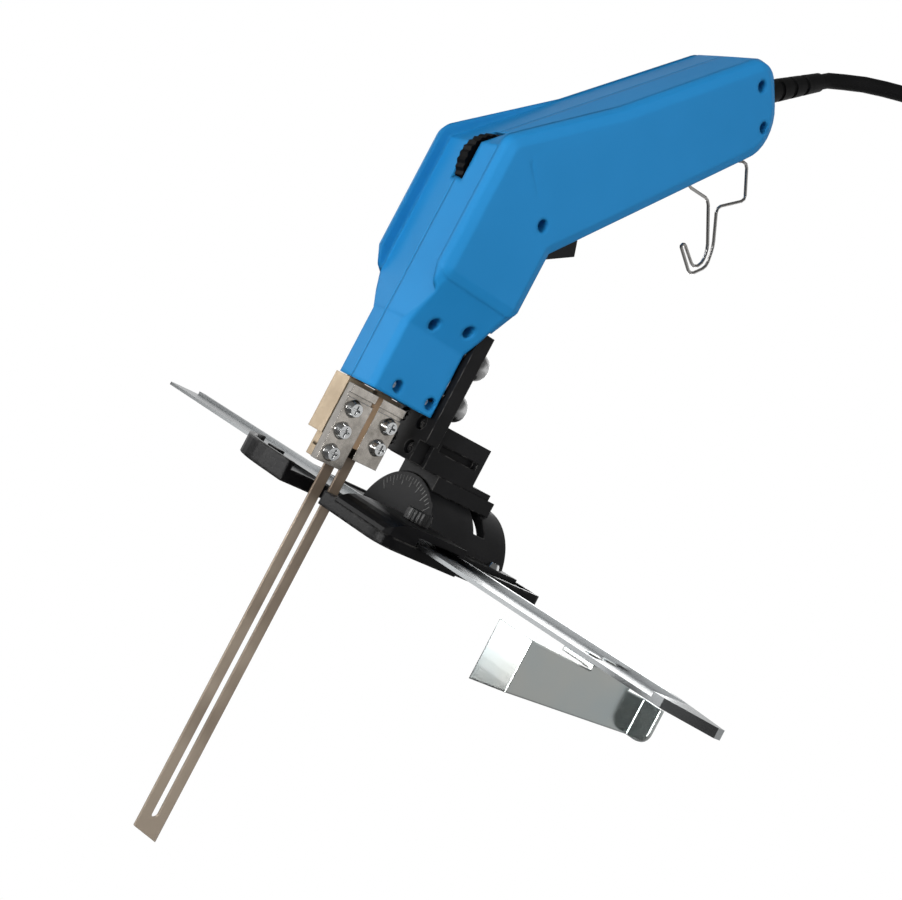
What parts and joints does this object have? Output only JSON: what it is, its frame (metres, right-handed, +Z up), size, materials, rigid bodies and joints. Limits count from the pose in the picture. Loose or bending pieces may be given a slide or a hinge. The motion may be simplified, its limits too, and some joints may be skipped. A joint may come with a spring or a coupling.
{
  "type": "electric hot knife",
  "caption": "Electric hot knife for rigid foam: angled blue grip, long slotted blade, clamp terminals, bevelling sled with a ruler guide and fence, mains lead.",
  "frame": {"origin": "on the plane of the sled's sole, at the middle of the blade", "axes": "+X back towards the grip, +Y away from the side with the clamp screws, +Z up, square to the sole"},
  "size_m": [0.3254, 0.354, 0.4305],
  "materials": {
    "blue_shell": "moulded blue plastic, fine satin texture",
    "black_plastic": "satin black moulded plastic",
    "black_paint": "satin black enamel on cast metal",
    "zinc": "bright zinc-plated sheet",
    "screws": "nickel-plated screws",
    "terminal": "nickelled brass, dulled by heat",
    "blade_steel": "heat-tinted resistance steel",
    "ceramic": "glazed ceramic insulator",
    "mica": "pressed mica strip",
    "core": "stacked steel laminations",
    "copper": "copper conductor",
    "board": "printed circuit board",
    "wire": "bent spring wire",
    "rubber": "black rubber",
    "pins": "plug pins"
  },
  "bodies": {
    "sled": {"sled_plate": "black_paint", "bevel_drum": "black_paint", "drum_screws": "screws", "guide_cover": "black_paint"},
    "arm": {"bracket_arm": "black_paint", "bracket_foot": "black_paint", "foot_screws": "black_paint", "saddle": "black_paint", "bevel_bolt": "screws"},
    "tool": {"housing_right": "blue_shell", "housing_left": "blue_shell", "housing_screws": "screws", "nose_insulator": "ceramic", "front_terminal": "terminal", "rear_terminal": "terminal", "front_clamp_plate": "terminal", "rear_clamp_plate": "terminal", "clamp_screws": "screws", "terminal_separator": "mica", "blade": "blade_steel", "transformer_core": "core", "transformer_winding": "copper", "front_busbar": "copper", "rear_busbar": "copper", "potentiometer": "black_plastic", "control_board": "board", "trigger_switch": "black_plastic", "cable_clamp": "black_plastic", "cable_clamp_screws": "screws", "strain_relief": "rubber", "bracket_screws": "screws", "cord": "rubber", "cord_coil": "rubber", "cord_tie": "rubber", "plug_body": "rubber", "plug_pins": "pins"},
    "heat_dial": {"heat_dial": "black_plastic"},
    "trigger": {"trigger": "black_plastic"},
    "hook": {"hook": "wire"},
    "guide": {"guide_ruler": "zinc", "rip_fence": "zinc", "fence_rivets": "zinc"},
    "ruler_lock": {"ruler_lock_screw": "screws"}
  },
  "joints": [
    {"name": "bevel", "type": "hinge", "parent": "sled", "child": "arm", "pos_m": [0, 0, 0], "axis": [1, 0, 0], "range_deg": [-45, 45]},
    {"name": "depth", "type": "slide", "parent": "arm", "child": "tool", "axis": [0, 0, 1], "range_m": [0, 0.007]},
    {"name": "heat_turn", "type": "hinge", "parent": "tool", "child": "heat_dial", "pos_m": [-0.0023, 0, 0.1392], "axis": [0, 1, 0], "range_deg": [-150, 150]},
    {"name": "trigger_pull", "type": "slide", "parent": "tool", "child": "trigger", "axis": [-0.7193, 0, 0.6947], "range_m": [0, 0.005], "stiffness_N_per_m": 900, "springref_m": -0.003},
    {"name": "hook_swing", "type": "hinge", "parent": "tool", "child": "hook", "pos_m": [0.09442, 0, 0.19238], "axis": [0.6947, 0, 0.7193], "range_deg": [-80, 80]},
    {"name": "guide_slide", "type": "slide", "parent": "sled", "child": "guide", "axis": [0, 1, 0], "range_m": [-0.1, 0.07]},
    {"name": "lock_turn", "type": "hinge", "parent": "sled", "child": "ruler_lock", "pos_m": [0.018, -0.034, 0.0104], "axis": [0, 0, 1], "range_deg": [-180, 180]}
  ]
}
